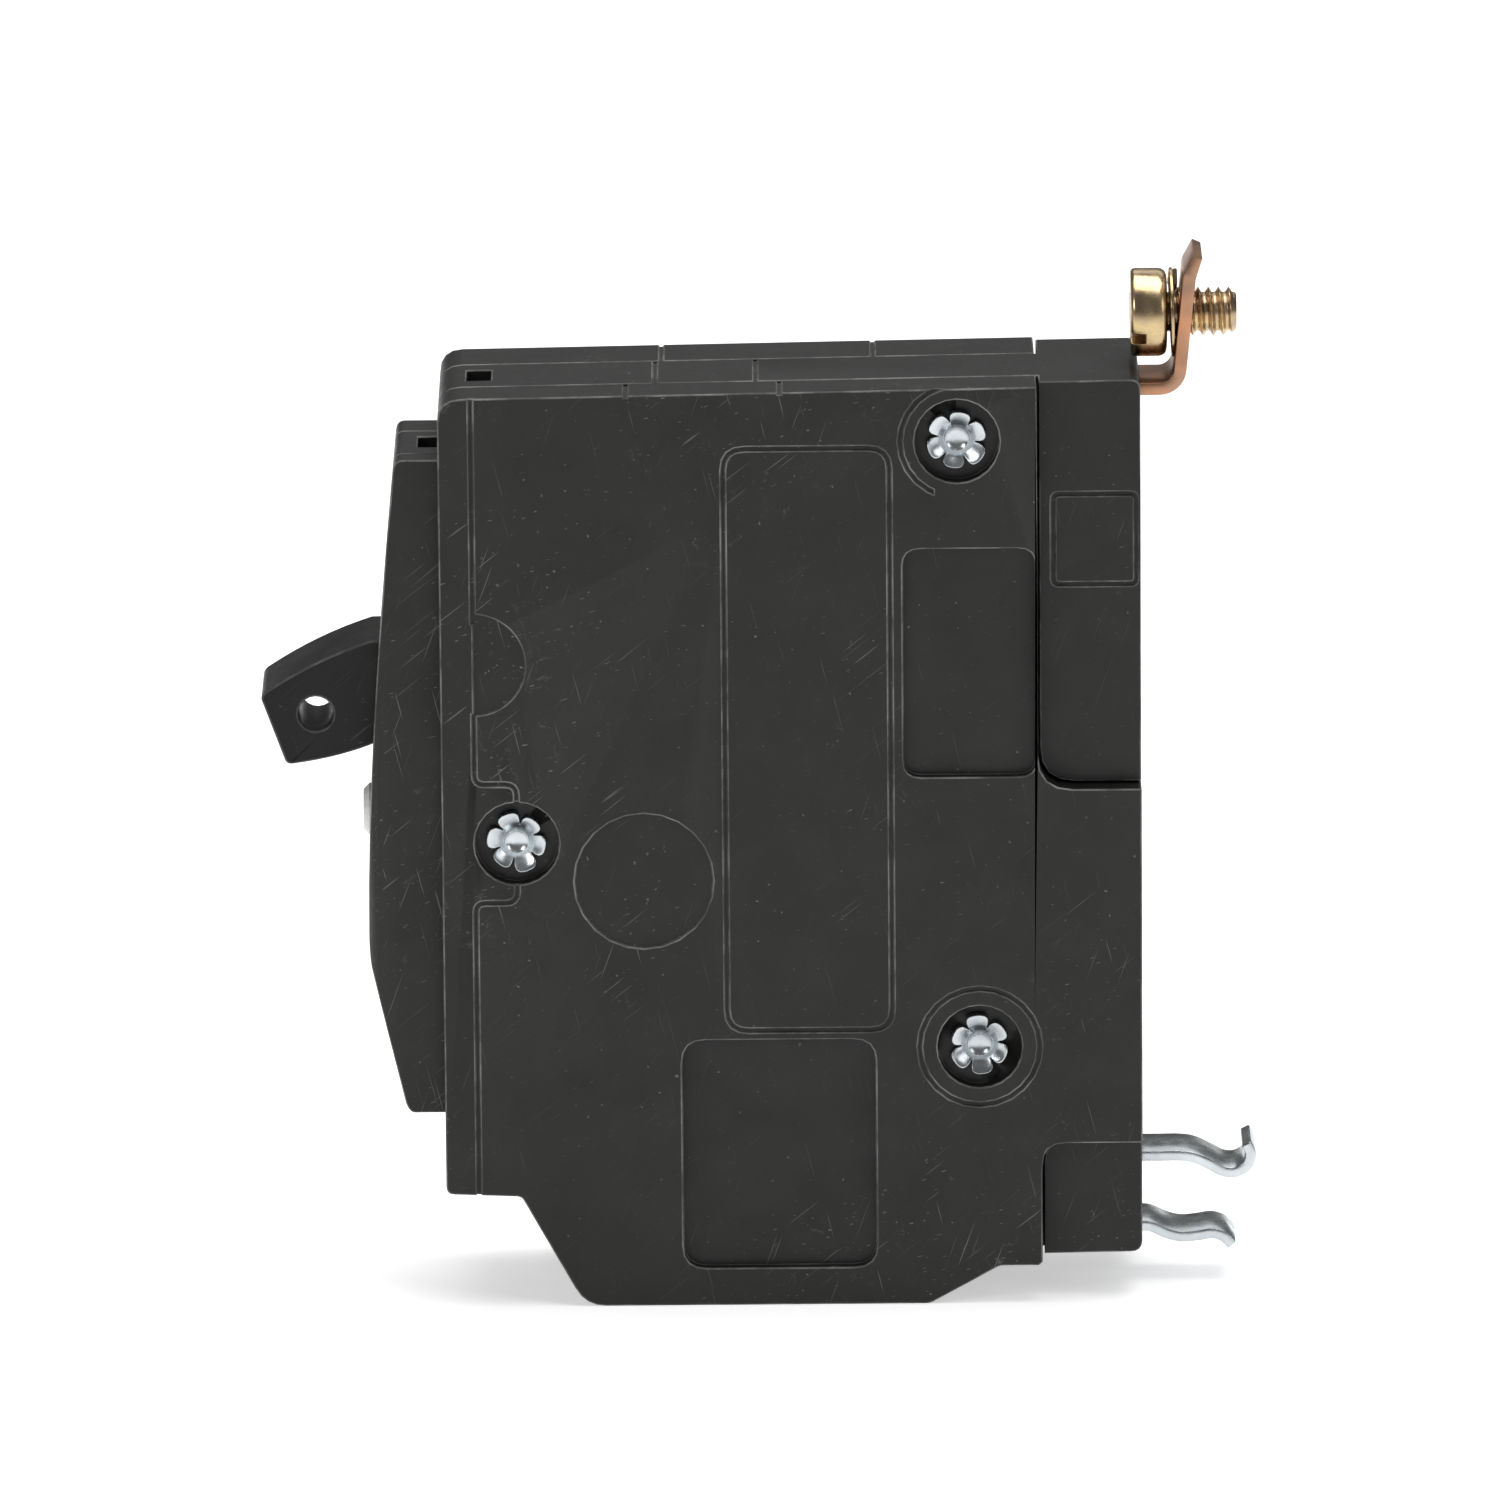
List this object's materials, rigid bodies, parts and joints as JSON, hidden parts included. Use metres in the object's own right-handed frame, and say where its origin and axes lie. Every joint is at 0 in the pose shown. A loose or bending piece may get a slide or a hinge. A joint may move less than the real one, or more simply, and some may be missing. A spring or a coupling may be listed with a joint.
{
  "type": "gfci circuit breaker",
  "caption": "Moulded one-pole ground-fault breaker with a toggle handle, test button, bolt-on line tang with screw, box lug, rail clip and a full inner mechanism",
  "frame": {"origin": "middle of the overall box in X and Y, on the flat load end (bottom) of the case", "axes": "+Z from the load end to the line end with the tang, -X towards the handle, +X towards the rail clip, and the flat sides face -Y (mechanism cover) and +Y (electronics cover)"},
  "size_m": [0.0846, 0.019, 0.0902],
  "materials": {
    "case_moulding": "satin moulded thermoset, charcoal",
    "handle_moulding": "satin moulded plastic, black",
    "button_moulding": "glossy moulded plastic, off-white",
    "copper": "rolled copper, slightly dulled",
    "silver_contact": "silver alloy",
    "zinc_plate": "bright zinc plating on steel",
    "yellow_zinc": "yellow chromated zinc plating on steel",
    "bare_steel": "cold-rolled steel",
    "bimetal_strip": "rolled bimetal",
    "tinned_alloy": "tin-plated aluminium",
    "fibre_board": "vulcanised fibre",
    "ferrite": "sintered core",
    "winding_enamel": "enamelled winding wire",
    "board_laminate": "glass-epoxy laminate with solder mask",
    "chip_resin": "moulded epoxy",
    "varistor_coating": "epoxy coating",
    "capacitor_body": "moulded film capacitor",
    "grey_plastic": "moulded plastic, grey"
  },
  "bodies": {
    "case": {"mechanism_cover": "case_moulding", "centre_frame": "case_moulding", "electronics_cover": "case_moulding", "line_tang": "copper", "fixed_contact": "silver_contact", "lock_washer": "yellow_zinc", "rail_clip": "zinc_plate", "arm_pivot_pin": "bare_steel", "test_button_spring": "bare_steel", "test_contact_leaf": "copper", "case_rivet_1": "zinc_plate", "case_rivet_2": "zinc_plate", "case_rivet_3": "zinc_plate", "load_terminal": "copper", "transformer_core": "ferrite", "transformer_winding": "winding_enamel", "bimetal": "bimetal_strip", "magnet_yoke": "bare_steel", "calibration_screw": "yellow_zinc", "trip_lever_pin": "bare_steel", "toggle_spring": "bare_steel", "flexible_braid": "copper", "arc_plate_1": "bare_steel", "arc_plate_2": "bare_steel", "arc_plate_3": "bare_steel", "arc_plate_4": "bare_steel", "arc_chute_side_1": "fibre_board", "arc_chute_side_2": "fibre_board", "circuit_board": "board_laminate", "control_chip": "chip_resin", "surge_varistor": "varistor_coating", "filter_capacitor": "capacitor_body", "power_resistor": "grey_plastic", "solenoid_frame": "bare_steel", "solenoid_coil": "winding_enamel", "solenoid_spring": "bare_steel", "neutral_outlet_bush": "grey_plastic"},
    "handle": {"operating_handle": "handle_moulding"},
    "contact_arm": {"contact_arm": "copper", "moving_contact": "silver_contact"},
    "trip_lever": {"trip_lever": "bare_steel"},
    "armature": {"armature": "bare_steel"},
    "test_button": {"test_button": "button_moulding"},
    "plunger": {"solenoid_plunger": "bare_steel"},
    "lug_screw": {"lug_screw": "zinc_plate"},
    "wire_lug": {"wire_lug": "tinned_alloy"},
    "bolt_on_screw": {"bolt_on_screw": "yellow_zinc"}
  },
  "joints": [
    {"name": "handle_swing", "type": "hinge", "parent": "case", "child": "handle", "pos_m": [-0.02459, 0, 0.0555], "axis": [0, 1, 0], "range_deg": [0, 40], "deforming": ["toggle_spring", "flexible_braid"]},
    {"name": "contact_swing", "type": "hinge", "parent": "case", "child": "contact_arm", "pos_m": [-0.01509, 0, 0.0535], "axis": [0, 1, 0], "range_deg": [-24.1, 0]},
    {"name": "trip_lever_swing", "type": "hinge", "parent": "case", "child": "trip_lever", "pos_m": [-0.01259, 0, 0.042], "axis": [0, 1, 0], "range_deg": [-22, 0]},
    {"name": "armature_swing", "type": "hinge", "parent": "case", "child": "armature", "pos_m": [0.00631, 0, 0.0484], "axis": [0, 1, 0], "range_deg": [-8, 0], "stiffness_Nm_per_rad": 0.004},
    {"name": "test_button_press", "type": "slide", "parent": "case", "child": "test_button", "axis": [1, 0, 0], "range_m": [0, 0.001], "stiffness_N_per_m": 250, "deforming": ["test_button_spring"]},
    {"name": "plunger_stroke", "type": "slide", "parent": "case", "child": "plunger", "axis": [1, 0, 0], "range_m": [0, 0.0016], "stiffness_N_per_m": 100, "deforming": ["solenoid_spring"]},
    {"name": "lug_screw_turn", "type": "hinge", "parent": "case", "child": "lug_screw", "pos_m": [-0.01759, 0, 0.0139], "axis": [1, 0, 0], "range_deg": [0, 1008]},
    {"name": "lug_clamp", "type": "slide", "parent": "case", "child": "wire_lug", "axis": [-1, 0, 0], "range_m": [0, 0.00281]},
    {"name": "bolt_screw_turn", "type": "hinge", "parent": "case", "child": "bolt_on_screw", "pos_m": [0.03641, 0, 0.08455], "axis": [1, 0, 0], "continuous": true}
  ],
  "couplings": [
    {"joint": "contact_swing", "follows": "handle_swing", "ratio": -0.6},
    {"joint": "lug_clamp", "follows": "lug_screw_turn", "m_per_rad": 0.00015915}
  ]
}
